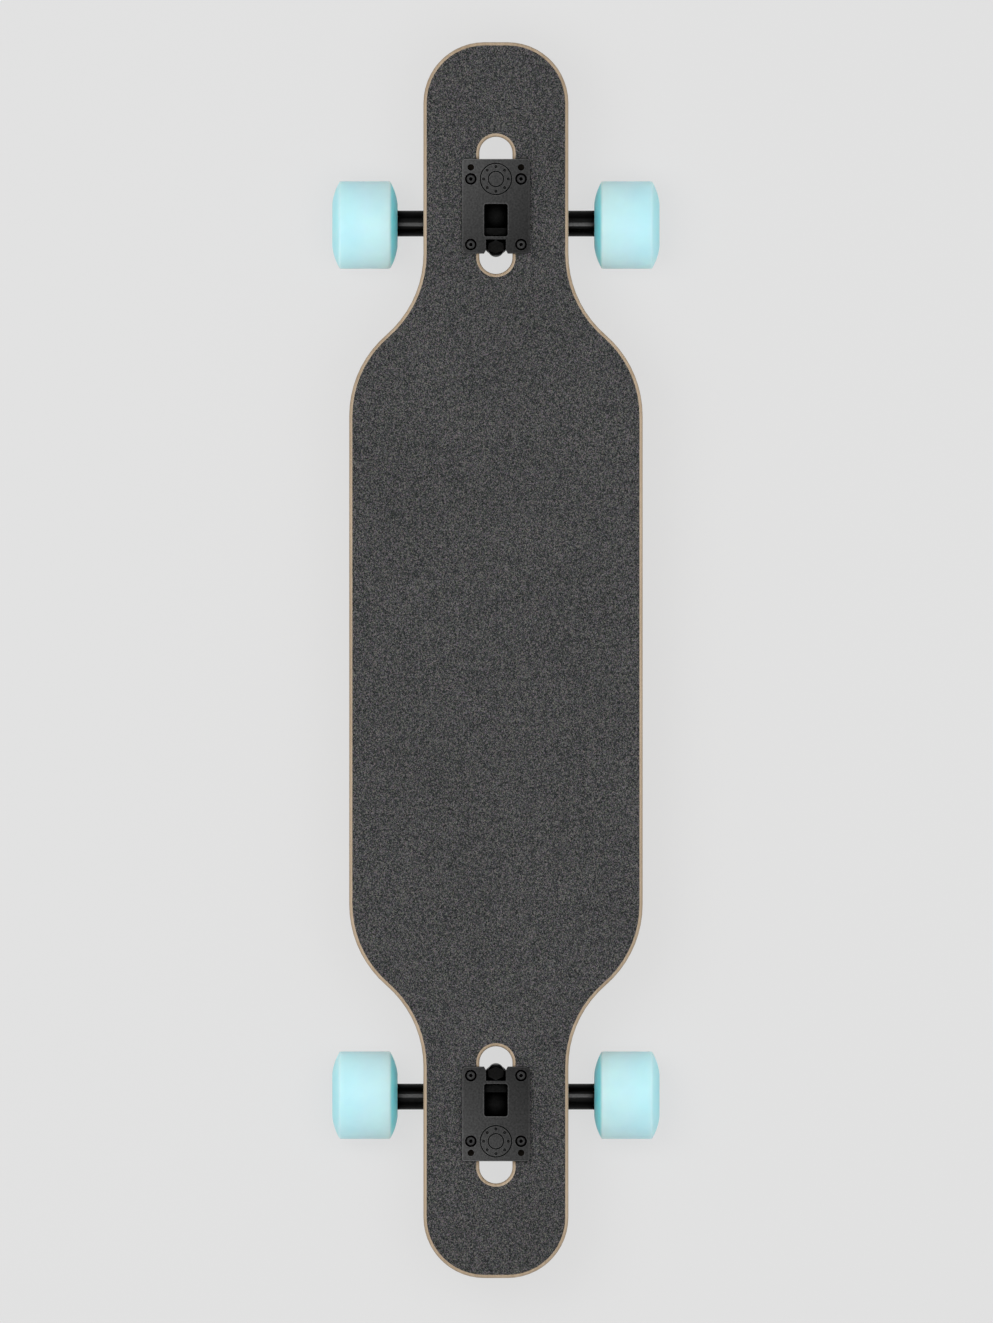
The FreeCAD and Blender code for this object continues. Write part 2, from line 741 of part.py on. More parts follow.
def hanger():
    """Cast hanger: axle arms, bushing ring, gussets and pivot nub in one piece."""
    half = hanger_width / 2
    arm_end = half - hanger_shoulder_length
    lead = Vector(hanger_arm_lead, 0, 0)
    arms = rod(hanger_arm_radius, on_axle(-arm_end) + lead, on_axle(arm_end) + lead)
    arms = arms.makeFillet(hanger_arm_edge_radius, [e for e in arms.Edges if e.Closed])
    shoulders = rod(hanger_shoulder_radius, on_axle(-half), on_axle(half))
    ring_low = kingpin_spot(-ring_thickness / 2)
    ring_high = kingpin_spot(ring_thickness / 2)
    ring = rod(ring_radius, ring_low, ring_high)
    ball_centre = spot(-nub_tip_reach + nub_tip_radius, 0)
    nub = frustum(nub_root_radius, nub_tip_radius, spot(-nub_root_reach, 0), spot(-nub_neck_reach, 0))
    nub_end = rod(nub_tip_radius, spot(-nub_neck_reach, 0), ball_centre)
    nub_ball = Part.makeSphere(nub_tip_radius, ball_centre)
    nub_root = rod(nub_root_radius, spot(web_foot_reach, 0), spot(-nub_root_reach, 0))
    body = joined([arms, shoulders, ring, hanger_web(), nub_root, nub, nub_end, nub_ball])
    seat_radius = bushing_radius + ring_seat_gap
    cuts = [
        rod(axle_radius + press_clearance, on_axle(-hanger_width), on_axle(hanger_width)),
        rod(ring_hole_radius, ring_low - along_kingpin * overrun, ring_high + along_kingpin * overrun),
        rod(seat_radius, kingpin_spot(-ring_seat_level), ring_low - along_kingpin * overrun),
        rod(seat_radius, kingpin_spot(ring_seat_level), ring_high + along_kingpin * overrun),
    ]
    return carved(body, cuts).removeSplitter()


def axle():
    """Steel axle rod through the hanger, with chamfered ends."""
    half = side * (axle_length / 2)
    bar = rod(axle_radius, axle_centre - half, axle_centre + half)
    return bar.makeChamfer(axle_chamfer, [e for e in bar.Edges if e.Closed])


def both_sides(shape):
    """The left shape and its copy on the right of the front truck."""
    return [shape, turned_half(shape, axle_centre)]


def on_axle(y):
    """Point on the front axle at a distance to the left."""
    return axle_centre + side * y


def speed_washers():
    """Washers at both faces of each bearing stack on the front axle."""
    bore = axle_radius + press_clearance
    rings = []
    for start in (hanger_width / 2, bearing_outer_y):
        ring = pipe(speed_washer_radius, bore, on_axle(start), on_axle(start + speed_washer_thickness))
        rings += both_sides(ring)
    return rings


def axle_nuts():
    """Lock nuts on the two ends of the front axle."""
    start = on_axle(axle_nut_y)
    middle = on_axle(axle_nut_y + axle_nut_height)
    end = on_axle(axle_nut_y + axle_nut_height + axle_nut_collar_height)
    nut = hexagon(axle_nut_across_flats, start, middle, up)
    nut = nut.fuse(rod(axle_nut_collar_radius, middle, end))
    return both_sides(nut.cut(rod(axle_radius + thread_clearance, start, end)))


def bearing_spacers():
    """Tubes between the two bearings of each front wheel."""
    half = spacer_length / 2
    tube = pipe(
        spacer_radius,
        axle_radius + press_clearance,
        on_axle(bearing_centre_y - half),
        on_axle(bearing_centre_y + half),
    )
    return both_sides(tube)


def mounting_bolts():
    """Button-head bolts that hold the front baseplate to the deck."""
    bolts = []
    for point in mount_points(plate_top_z - counterbore_depth):
        nut_end = deck_bottom_z - mount_nut_height - mount_nut_collar_height
        tip = Vector(point.x, point.y, nut_end - mount_bolt_tip_length)
        head_top = point + up * mount_bolt_head_height
        head = rod(mount_bolt_head_radius, point, head_top)
        rim = [e for e in edges_at(head, head_top.z) if e.Closed]
        head = head.makeFillet(mount_bolt_head_dome, rim)
        socket_start = head_top - up * mount_bolt_socket_depth
        socket = hexagon(mount_bolt_socket_across_flats, socket_start, head_top + up * overrun, side)
        bolts.append(head.cut(socket).fuse(rod(mount_bolt_radius, point, tip)).removeSplitter())
    return bolts


def mounting_nuts():
    """Lock nuts under the deck on the front truck's bolts."""
    nuts = []
    for point in mount_points(deck_bottom_z):
        middle = point - up * mount_nut_height
        end = middle - up * mount_nut_collar_height
        nut = hexagon(mount_nut_across_flats, middle, point, side)
        nut = nut.fuse(rod(mount_nut_collar_radius, end, middle))
        nuts.append(nut.cut(rod(mount_bolt_radius + thread_clearance, end, point)))
    return nuts


def revolved(edges):
    """Solid turned about the axle from profile edges drawn as radius along X and place along Y."""
    face = Part.Face(Part.Wire(Part.__sortEdges__(edges)))
    shape = face.revolve(Vector(0, 0, 0), side, 360)
    shape.translate(axle_centre)
    return shape


def wheel_urethane():
    """Cast wheel body of the front left wheel: flat tread, crowned lips and a recess on each side."""
    radius = wheel_diameter / 2
    low_y = wheel_centre_y - wheel_width / 2
    high_y = wheel_centre_y + wheel_width / 2
    half_tread = tread_width / 2
    core_low = bearing_centre_y - core_length / 2
    core_high = bearing_centre_y + core_length / 2
    ends = []
    edges = []
    for edge_y, lip_y, floor_y in (
        (wheel_centre_y - half_tread, low_y, core_low),
        (wheel_centre_y + half_tread, high_y, core_high),
    ):
        outwards = 1 if lip_y > edge_y else -1
        tread_end = Vector(radius, edge_y - tread_edge_radius * outwards, 0)
        shoulder = Vector(radius - tread_edge_radius / 2, edge_y + tread_edge_radius / 2 * outwards, 0)
        lip_start = Vector(lip_radius + lip_rounding, lip_y, 0)
        lip_end = Vector(lip_radius - lip_rounding, lip_y - lip_rounding * outwards, 0)
        floor = Vector(recess_floor_radius, floor_y, 0)
        corner = Vector(radius - tread_edge_radius / 8, edge_y - tread_edge_radius / 8 * outwards, 0)
        middle = (shoulder + lip_start) * 0.5 + Vector(lip_crown, lip_crown * outwards, 0)
        nose = Vector(lip_radius - lip_rounding / 4, lip_y - lip_rounding / 8 * outwards, 0)
        edges.append(Part.Arc(tread_end, corner, shoulder).toShape())
        edges.append(Part.Arc(shoulder, middle, lip_start).toShape())
        edges.append(Part.Arc(lip_start, nose, lip_end).toShape())
        edges += chain([lip_end, floor, Vector(core_radius, floor_y, 0)])
        ends.append((tread_end, Vector(core_radius, floor_y, 0)))
    edges += chain([ends[0][0], ends[1][0]])
    rib_low = bearing_centre_y - core_rib_width / 2
    rib_high = bearing_centre_y + core_rib_width / 2
    edges += chain(
        [
            ends[0][1],
            Vector(core_radius, rib_low, 0),
            Vector(core_rib_radius, rib_low, 0),
            Vector(core_rib_radius, rib_high, 0),
            Vector(core_radius, rib_high, 0),
            ends[1][1],
        ]
    )
    return revolved(edges)


def wheel_core():
    """Hard core of the front left wheel, with a seat for a bearing at each end."""
    half = core_length / 2
    low_y = bearing_centre_y - half
    high_y = bearing_centre_y + half
    body = pipe(core_radius, core_step_radius, on_axle(low_y), on_axle(high_y))
    rib_half = core_rib_width / 2
    rib_low = on_axle(bearing_centre_y - rib_half)
    rib_high = on_axle(bearing_centre_y + rib_half)
    body = body.fuse(pipe(core_rib_radius, core_step_radius, rib_low, rib_high))
    seat = bearing_outer_diameter / 2 + press_clearance
    step = spacer_length / 2
    cuts = [
        rod(seat, on_axle(low_y), on_axle(bearing_centre_y - step)),
        rod(seat, on_axle(bearing_centre_y + step), on_axle(high_y)),
    ]
    outer = core_face_groove_radius + core_face_groove_width / 2
    inner = core_face_groove_radius - core_face_groove_width / 2
    cuts.append(pipe(outer, inner, on_axle(low_y), on_axle(low_y + core_face_groove_depth)))
    cuts.append(pipe(outer, inner, on_axle(high_y - core_face_groove_depth), on_axle(high_y)))
    return carved(body, cuts).removeSplitter()


def bearing_centres():
    """Middle planes of the two bearings in the front left wheel."""
    offset = (spacer_length + bearing_width) / 2
    return bearing_centre_y - offset, bearing_centre_y + offset


def ball_track(centre_y):
    """Ring-shaped space that the balls of one bearing roll in."""
    groove = ball_diameter / 2 + ball_clearance
    return Part.makeTorus(ball_pitch_diameter / 2, groove, on_axle(centre_y), side)


def chamfered_ring(outer, inner, centre_y, chamfered_radius):
    """One bearing race as a ring, with the two edges of one wall chamfered."""
    half = bearing_width / 2
    ring = pipe(outer, inner, on_axle(centre_y - half), on_axle(centre_y + half))
    rims = []
    for edge in ring.Edges:
        if edge.Closed and abs(edge.Curve.Radius - chamfered_radius) < bearing_race_chamfer:
            rims.append(edge)
    return ring.makeChamfer(bearing_race_chamfer, rims)


def bearing_outer_races():
    """Outer races of the two bearings in the front left wheel."""
    outer = bearing_outer_diameter / 2
    inner = outer_race_shoulder_radius
    return [chamfered_ring(outer, inner, y, outer).cut(ball_track(y)) for y in bearing_centres()]


def bearing_inner_races():
    """Inner races of the two bearings in the front left wheel."""
    outer = inner_race_shoulder_radius
    inner = bearing_bore / 2 + press_clearance
    return [chamfered_ring(outer, inner, y, inner).cut(ball_track(y)) for y in bearing_centres()]


def bearing_shields():
    """Dust shields in both faces of the two bearings in the front left wheel."""
    shields = []
    outside = bearing_width / 2 - shield_depth
    inside = outside - shield_thickness
    for y in bearing_centres():
        for sign in (1, -1):
            ends = on_axle(y + inside * sign), on_axle(y + outside * sign)
            shields.append(pipe(outer_race_shoulder_radius, shield_inner_radius, *ends))
    return shields


def ball_places(centre_y):
    """Centres of the balls in one bearing."""
    places = []
    for number in range(ball_count):
        turn = math.radians(360 * number / ball_count)
        reach = Vector(math.cos(turn), 0, math.sin(turn)) * (ball_pitch_diameter / 2)
        places.append(on_axle(centre_y) + reach)
    return places


def bearing_balls():
    """Balls of the two bearings in the front left wheel."""
    return [Part.makeSphere(ball_diameter / 2, p) for y in bearing_centres() for p in ball_places(y)]


def bearing_cages():
    """Ball cages of the two bearings in the front left wheel."""
    cages = []
    half = cage_width / 2
    pocket_radius = ball_diameter / 2 + ball_clearance
    for y in bearing_centres():
        cage = pipe(cage_outer_radius, cage_inner_radius, on_axle(y - half), on_axle(y + half))
        for place in ball_places(y):
            reach = place - on_axle(y)
            cage = cage.cut(rod(pocket_radius, on_axle(y) + reach / 2, place + reach / 2))
        cages.append(cage)
    return cages


truck_pieces = {
    "baseplate": baseplate,
    "pivot_cup": pivot_cup,
    "kingpin": kingpin,
    "kingpin_nut": kingpin_nut,
    "boardside_bushing": boardside_bushing,
    "roadside_bushing": roadside_bushing,
    "bushing_washers": bushing_washers,
    "hanger": hanger,
    "axle": axle,
    "axle_nuts": axle_nuts,
    "speed_washers": speed_washers,
    "bearing_spacers": bearing_spacers,
    "mounting_bolts": mounting_bolts,
    "mounting_nuts": mounting_nuts,
}

wheel_pieces = {
    "wheel_urethane": wheel_urethane,
    "wheel_core": wheel_core,
    "bearing_outer_races": bearing_outer_races,
    "bearing_inner_races": bearing_inner_races,
    "bearing_shields": bearing_shields,
    "bearing_balls": bearing_balls,
    "bearing_cages": bearing_cages,
}


def as_group(made):
    """One shape from a single solid or from a list of separate solids."""
    return Part.Compound(made) if isinstance(made, list) else made


def save(name, shape):
    """Writes one named piece and reports its solids."""
    solids = shape.Solids
    print(name, len(solids), round(sum(solid.Volume for solid in solids), 1), shape.isValid())
    shape.exportStep(os.path.join("parts", name + ".step"))


def main():
    """Builds every piece and writes it to the parts folder."""
    os.makedirs("parts", exist_ok=True)
    save("deck", deck())
    save("grip_sheet", grip_sheet())
    for name, make in truck_pieces.items():
        front, rear = both_ends(as_group(make()))
        save("front_" + name, front)
        save("rear_" + name, rear)
    for name, make in wheel_pieces.items():
        left, right = both_sides(as_group(make()))
        front_left, rear_right = both_ends(left)
        front_right, rear_left = both_ends(right)
        save("front_left_" + name, front_left)
        save("front_right_" + name, front_right)
        save("rear_left_" + name, rear_left)
        save("rear_right_" + name, rear_right)


main()
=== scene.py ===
import json
import math

import bpy
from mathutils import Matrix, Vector

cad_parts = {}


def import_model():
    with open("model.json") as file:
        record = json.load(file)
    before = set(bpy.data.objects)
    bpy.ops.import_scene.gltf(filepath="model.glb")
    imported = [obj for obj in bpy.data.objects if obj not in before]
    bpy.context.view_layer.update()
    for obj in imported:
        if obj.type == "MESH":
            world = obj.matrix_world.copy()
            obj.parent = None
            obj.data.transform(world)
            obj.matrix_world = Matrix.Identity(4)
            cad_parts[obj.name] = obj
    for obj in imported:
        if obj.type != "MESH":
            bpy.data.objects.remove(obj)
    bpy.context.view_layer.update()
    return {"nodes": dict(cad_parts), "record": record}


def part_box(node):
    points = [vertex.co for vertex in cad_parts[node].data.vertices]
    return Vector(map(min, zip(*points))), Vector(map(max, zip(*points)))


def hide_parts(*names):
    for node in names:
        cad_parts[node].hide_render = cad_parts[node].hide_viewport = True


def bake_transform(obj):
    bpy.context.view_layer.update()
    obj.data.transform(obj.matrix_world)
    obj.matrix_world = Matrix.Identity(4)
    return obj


# Looks of the drop-through longboard, in metres, in the CAD frame:
# +X towards the nose, +Y left, +Z up, with the origin on the ground under the deck's middle.

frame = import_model()
nodes = frame["nodes"]

# The photograph's frame and the board's place in it, in pixels
photo_width_px = 993
photo_height_px = 1323
board_centre_x_px = 495.92
board_centre_y_px = 660.1
board_length_px = 1235.9

# Camera
camera_lens_mm = 1000.0
sensor_mm = 36.0
camera_clip_end = 100.0

# Floor and background
floor_size = 14.0
floor_drop = 0.0004
floor_grey = 0.86
floor_roughness = 0.9
floor_gloss = 0.1
background_grey = 0.738
background_share = 0.86

# Light: stops are (height of the direction, grey), lamps are square or oblong
sky_stops = [(0.0, 0.75), (0.08, 0.75), (0.5, 0.5), (1.0, 0.2)]
key_place = (0.35, 1.1, 2.95)
key_size = (1.5, 1.5)
key_watts = 26.0
fill_place = (-0.3, -0.9, 3.05)
fill_size = (1.7, 1.7)
fill_watts = 13.0
top_place = (0.0, 0.0, 3.2)
top_size = (1.9, 2.6)
top_watts = 36.0

# Places taken from the CAD solids
deck_low, deck_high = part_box("deck")
deck_thickness = deck_high.z - deck_low.z
wheel_low, wheel_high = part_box("front_left_wheel_urethane")
axle_z = (wheel_low.z + wheel_high.z) / 2
axle_x = (wheel_low.x + wheel_high.x) / 2
wheel_middle_y = (wheel_low.y + wheel_high.y) / 2
lip_half_width = (wheel_high.y - wheel_low.y) / 2
plate_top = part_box("front_baseplate")[1].z

# In the tables below, a noise is (scale, detail, roughness, stretch along X, Y and Z), as far as given,
# stops are (place on the ramp, grey or colour), the painted shade in holes and pockets is (reach, darkest up
# to, open from, darkest grey), a bump is (strength, height) and shares are of the paint's own value.
ramp_middle = 0.5
hollow_samples = 12
edge_samples = 4

# Grip sheet
grip_colour = (0.062, 0.062, 0.062)
grip_roughness = 0.9
grip_gloss = 0.25
grain_scale = 1450.0
grain_stops = [
    (0.0, (0.0057, 0.006, 0.006)),
    (0.55, (0.0463, 0.0486, 0.0492)),
    (1.0, (0.131, 0.1375, 0.139)),
]
grain_tint_share = 0.17
grain_bump = (0.5, 0.0004)
grip_speckle_noise = (1500.0, 2.0, 0.7)
grip_speckle_stops = [(0.3, 0.7), (0.7, 1.3)]
grip_patch_noise = (9.0, 3.0, 0.6)
grip_patch_stops = [(0.3, 0.91), (0.7, 1.03)]

# Deck wood
ply_count = 7
wood_colour = (0.43, 0.33, 0.22)
wood_roughness = 0.42
wood_roughness_limits = (0.36, 0.5)
wood_gloss = 0.5
wood_fine_noise = (60.0, 6.0, 0.62, (0.12, 4.0, 4.0))
wood_broad_noise = (14.0, 3.0, 0.5, (0.16, 2.2, 2.2))
wood_grain_stops = [(0.28, (0.35, 0.25, 0.155)), (0.72, (0.51, 0.395, 0.275))]
wood_tone_stops = [(0.3, 0.9), (0.7, 1.05)]
wood_glue_stops = [(0.0, 0.62), (0.1, 1.0), (0.9, 1.0), (1.0, 0.62)]
wood_ply_stops = [(0.35, 0.86), (0.65, 1.04)]
wood_flat_stops = [(0.55, 0.0), (0.97, 1.0)]
# Painted shade that darkens the wood and its gloss in holes and recesses
wood_hollow_shade = (0.008, 0.3, 0.55, 0.02)
wood_bump = (0.12, 0.0003)

# Coats on castings and black steel
coat_detail = 2.0
coat_bump_height = 0.0002
coat_mottle_noise = (120.0, 4.0, 0.6)
coat_mottle_shares = [(0.3, 0.86), (0.7, 1.14)]
coat_speckle_noise = (620.0, 2.0, 0.6)
coat_speckle_stops = [(0.3, 0.72), (0.7, 1.28)]
coat_roughness_shares = (0.85, 1.15)
# Painted shade that darkens the coats' colour and gloss in hollows
coat_hollow_shade = (0.012, 0.5, 0.9, 0.03)
# Lighter edges: rubbed paint, which also serves as a painted edge highlight
coat_edge_radius = 0.0006
coat_edge_limits = (0.985, 0.8)
coat_edge_share = 0.6
# Painted shade that darkens colour and gloss on the sides of a coated piece, leaving its top glossy
coat_side_shade_limits = (0.9, 0.985)

# The baseplate's painted light and painted rim highlight, and the painted shade in its pocket and notch
plate_inner_x = 0.3355
plate_outer_x = 0.4111
plate_half_width = 0.033
# Painted light, lighter towards the plate's outer end and its left side
plate_painted_light_shares = (0.7, 1.3)
# Painted highlight on the rounded edges of the plate's top
plate_rim_highlight_stops = [(0.25, 0.0), (0.5, 1.0), (0.85, 1.0), (0.98, 0.0)]
pocket_half_width = 0.0101
pocket_reach = 0.0182
pocket_rim = 0.0012
pocket_depth = 0.0138
# Painted shade in the pocket and notch, as a share of the coat
pocket_shade_share = 0.22

# Steel, urethane and moulded plastic
cloud_limits = (0.3, 0.7)
steel_streak_noise = (1400.0, 3.0, 0.6, (1.0, 0.15, 1.0))
steel_dark_share = 0.8
steel_roughness_shares = (0.75, 1.3)
steel_bump_height = 0.0001
urethane_cloud_noise = (45.0, 3.0, 0.5)
urethane_skin_noise = (1600.0, 2.0)
urethane_cloud_stops = [(0.3, 0.95), (0.7, 1.0)]
urethane_roughness_shares = (0.9, 1.15)
urethane_bump = (0.05, 0.0002)
urethane_spread_shares = (0.66, 0.72, 0.64)
# Across a wheel: darker and deeper at the lips as painted shade, palest over the inner tread as painted
# light
wheel_light_and_shade_stops = [
    (0.0, (0.2, 0.78, 0.97)),
    (0.085, (0.26, 0.82, 0.985)),
    (0.12, (0.58, 0.905, 1.0)),
    (0.5, (0.58, 0.87, 0.995)),
    (0.88, (0.51, 0.85, 0.965)),
    (1.0, (0.4, 0.84, 0.975)),
]
moulded_cloud_noise = (80.0, 3.0)
moulded_skin_noise = (1800.0, 2.0)
moulded_dark_share = 0.9
moulded_roughness_shares = (0.85, 1.1)
moulded_bump = (0.08, 0.0002)

# Bushings, on the kingpin's axis
rake = 0.004
ring_distance = 0.032
ring_seat_level = 0.0025
bushing_radius = 0.0124
bushing_bore = 0.00491
boardside_height = 0.016
roadside_height = 0.014
roadside_tip_radius = 0.0102
bushing_edge = 0.0011
bushing_edge_steps = 4
bushing_bulge = 0.0001
bushing_rings = 20
bushing_segments = 72


class Paint:
    """A node material with short calls for adding and linking its nodes."""

    def __init__(self, name, colour, roughness, metallic=0.0):
        self.material = bpy.data.materials.new(name)
        self.material.use_nodes = True
        self.tree = self.material.node_tree
        self.shader = self.tree.nodes["Principled BSDF"]
        self.set("Base Color", (*colour, 1.0))
        self.set("Roughness", roughness)
        self.set("Metallic", metallic)
        coords = self.tree.nodes.new("ShaderNodeTexCoord")
        self.place = coords.outputs["Object"]
        self.facing = coords.outputs["Normal"]

    def set(self, socket, value):
        """Sets one of the shader's own values."""
        self.shader.inputs[socket].default_value = value

    def node(self, kind, links=(), **settings):
        """Adds a node, sets its options and inputs, and links what feeds it."""
        made = self.tree.nodes.new(kind)
        for key, value in settings.items():
            if hasattr(made, key):
                setattr(made, key, value)
            else:
                made.inputs[key.replace("_", " ")].default_value = value
        for socket, source in links:
            self.link(source, made.inputs[socket])
        return made

    def link(self, source, target):
        """Links an output to an input."""
        self.tree.links.new(source, target)

    def feed(self, socket, value):
        """Links an output to an input, or sets the input to a plain colour or number."""
        if isinstance(value, bpy.types.NodeSocket):
            self.link(value, socket)
        else:
            socket.default_value = (*value, 1.0) if isinstance(value, tuple) else value

    def parts(self, source):
        """X, Y and Z of a place or a direction."""
        return self.node("ShaderNodeSeparateXYZ", [("Vector", source)]).outputs

    def noise(self, scale, detail, roughness=0.55, stretch=None):
        """Value of a noise that sits on the piece, with features of about one over the scale."""
        place = self.place
        if stretch:
            mapping = self.node("ShaderNodeMapping", [("Vector", place)])
            mapping.inputs["Scale"].default_value = stretch
            place = mapping.outputs["Vector"]
        made = self.node(
            "ShaderNodeTexNoise", [("Vector", place)], Scale=scale, Detail=detail, Roughness=roughness
        )
        return made.outputs["Fac"]

    def ramp(self, source, stops):
        """Colour ramp fed by a value, from (place, grey or colour) stops."""
        made = self.node("ShaderNodeValToRGB", [("Fac", source)])
        ramp = made.color_ramp
        while len(ramp.elements) < len(stops):
            ramp.elements.new(ramp_middle)
        for element, (place, colour) in zip(ramp.elements, stops):
            element.position = place
            element.color = (*colour, 1.0) if isinstance(colour, tuple) else (colour, colour, colour, 1.0)
        return made.outputs["Color"]

    def mix(self, factor, first, second, blend="MIX"):
        """Mix of two colours, each an output or a plain colour."""
        made = self.node("ShaderNodeMix", data_type="RGBA", blend_type=blend)
        colours = [socket for socket in made.inputs if socket.type == "RGBA"]
        self.feed(made.inputs[0], factor)
        self.feed(colours[0], first)
        self.feed(colours[1], second)
        return next(socket for socket in made.outputs if socket.type == "RGBA")

    def times(self, first, second):
        """Product of two colours or greys."""
        return self.mix(1.0, first, second, "MULTIPLY")

    def math(self, operation, first, second=0.0):
        """One sum on outputs or plain numbers."""
        made = self.node("ShaderNodeMath", operation=operation)
        self.feed(made.inputs[0], first)
        self.feed(made.inputs[1], second)
        return made.outputs[0]

    def spread(self, source, limits, first, second):
        """Value that goes from the first to the second number while the source crosses its limits."""
        made = self.node("ShaderNodeMapRange", [("Value", source)], To_Min=first, To_Max=second)
        made.inputs["From Min"].default_value, made.inputs["From Max"].default_value = limits
        return made.outputs["Result"]

    def bump(self, height, strength, distance):
        """Bump on the whole shader from a height output."""
        made = self.node("ShaderNodeBump", [("Height", height)], Strength=strength, Distance=distance)
        self.link(made.outputs["Normal"], self.shader.inputs["Normal"])

    def colour(self, source):
        """Feeds the base colour."""
        self.link(source, self.shader.inputs["Base Color"])

    def rough(self, source, low, high):
        """Feeds the roughness from a value spread between two limits."""
        self.link(self.spread(source, (0.0, 1.0), low, high), self.shader.inputs["Roughness"])

    def clouded(self, source, colour, dark_share):
        """Colour that a noise darkens in soft patches."""
        low, high = cloud_limits
        return self.ramp(source, [(low, tuple(value * dark_share for value in colour)), (high, colour)])

    def hollow_shade(self, reach, low, high, darkest):
        """Painted shade: grey that falls from 1 in the open to the darkest value deep in holes and pockets.
        """
        shade = self.node("ShaderNodeAmbientOcclusion", samples=hollow_samples, Distance=reach)
        return self.ramp(shade.outputs["AO"], [(low, darkest), (high, 1.0)])

    def shade_colour_and_gloss(self, colour, shade, gloss):
        """Feeds the base colour and the gloss, both multiplied by a grey that holds painted shade."""
        self.colour(self.times(colour, shade))
        self.set("Specular IOR Level", gloss)
        self.link(self.math("MULTIPLY", shade, gloss), self.shader.inputs["Specular IOR Level"])

    def plate_depth(self):
        """Depth under the baseplate's top."""
        return self.math("SUBTRACT", plate_top, self.parts(self.place)["Z"])

    def pocket_shade(self):
        """Painted shade: grey that is 1 outside the baseplate's pocket and notch, and low inside them."""
        depth = self.plate_depth()
        place = self.parts(self.place)
        below_rim = self.spread(depth, (pocket_rim / 2, pocket_rim), 0.0, 1.0)
        above_floor = self.math("LESS_THAN", depth, pocket_depth)
        across = self.math("LESS_THAN", self.math("ABSOLUTE", place["Y"]), pocket_half_width)
        along = self.math("LESS_THAN", self.math("ABSOLUTE", place["X"]), axle_x + pocket_reach)
        inside = self.math("MULTIPLY", self.math("MULTIPLY", across, along), above_floor)
        return self.spread(self.math("MULTIPLY", inside, below_rim), (0.0, 1.0), 1.0, pocket_shade_share)

    def plate_painted_light(self):
        """Painted light: grey that rises from the baseplate's inner end to its outer end, and from right to
        left.
        """
        place = self.parts(self.place)
        ends = (plate_inner_x, plate_outer_x)
        along = self.spread(self.math("ABSOLUTE", place["X"]), ends, *plate_painted_light_shares)
        across = self.spread(place["Y"], (-plate_half_width, plate_half_width), *plate_painted_light_shares)
        return self.math("MULTIPLY", along, across)

    def plate_rim_highlight(self):
        """Painted highlight mask: value that is 1 on the slanted edges of the baseplate's top and 0
        elsewhere.
        """
        high_up = self.math("LESS_THAN", self.plate_depth(), pocket_rim)
        slant = self.ramp(self.parts(self.facing)["Z"], plate_rim_highlight_stops)
        return self.math("MULTIPLY", slant, high_up)

    def worn_and_highlit_edges(self):
        """Value that is 1 on the piece's outer edges and 0 on its flats, for rubbed paint that is also a
        painted highlight.
        """
        bevel = self.node("ShaderNodeBevel", samples=edge_samples, Radius=coat_edge_radius)
        plain = self.node("ShaderNodeNewGeometry")
        dot = self.node("ShaderNodeVectorMath", operation="DOT_PRODUCT")
        self.link(bevel.outputs["Normal"], dot.inputs[0])
        self.link(plain.outputs["Normal"], dot.inputs[1])
        return self.spread(dot.outputs["Value"], coat_edge_limits, 0.0, 1.0)

    def painted_side_shade(self, side_shade_share):
        """Painted shade: value that is 1 where the surface looks straight up or down, and low on its sides.
        """
        upright = self.math("ABSOLUTE", self.parts(self.facing)["Z"])
        return self.spread(upright, coat_side_shade_limits, side_shade_share, 1.0)

    def wheel_light_and_shade(self, stops):
        """Colour from a wheel's inner lip over its tread to its outer lip: painted shade at lips, painted
        light on inner tread.
        """
        aside = self.math("SUBTRACT", self.math("ABSOLUTE", self.parts(self.place)["Y"]), wheel_middle_y)
        return self.ramp(self.spread(aside, (-lip_half_width, lip_half_width), 0.0, 1.0), stops)


def grip_paint():
    """Dark abrasive sheet with coarse grains of slightly different greys."""
    paint = Paint("grip_abrasive", grip_colour, grip_roughness)
    paint.set("Specular IOR Level", grip_gloss)
    grains = paint.node("ShaderNodeTexVoronoi", [("Vector", paint.place)], Scale=grain_scale).outputs
    shades = paint.node("ShaderNodeSeparateColor", [("Color", grains["Color"])])
    grey = paint.ramp(shades.outputs["Red"], grain_stops)
    speckle = paint.ramp(paint.noise(*grip_speckle_noise), grip_speckle_stops)
    tinted = paint.mix(grain_tint_share, paint.times(grey, speckle), grains["Color"], "SOFT_LIGHT")
    paint.colour(paint.times(tinted, paint.ramp(paint.noise(*grip_patch_noise), grip_patch_stops)))
    paint.bump(grains["Distance"], *grain_bump)
    return paint.material


def wood_paint():
    """Laminated maple: fine grain along the board and thin layers that show at its edge."""
    paint = Paint("deck_maple", wood_colour, wood_roughness)
    fine = paint.noise(*wood_fine_noise)
    tone = paint.ramp(paint.noise(*wood_broad_noise), wood_tone_stops)
    veneer = paint.times(paint.ramp(fine, wood_grain_stops), tone)
    above = paint.math("SUBTRACT", paint.parts(paint.place)["Z"], deck_low.z)
    layer = paint.math("MULTIPLY", above, ply_count / deck_thickness)
    glue = paint.ramp(paint.math("FRACT", layer), wood_glue_stops)
    plies = paint.ramp(paint.math("PINGPONG", layer, 1.0), wood_ply_stops)
    flat = paint.ramp(paint.math("ABSOLUTE", paint.parts(paint.facing)["Z"]), wood_flat_stops)
    wood = paint.mix(flat, paint.times(veneer, paint.times(glue, plies)), veneer)
    # Painted shade darkens the wood and its gloss in holes and recesses
    paint.shade_colour_and_gloss(wood, paint.hollow_shade(*wood_hollow_shade), wood_gloss)
    paint.rough(fine, *wood_roughness_limits)
    paint.bump(fine, *wood_bump)
    return paint.material


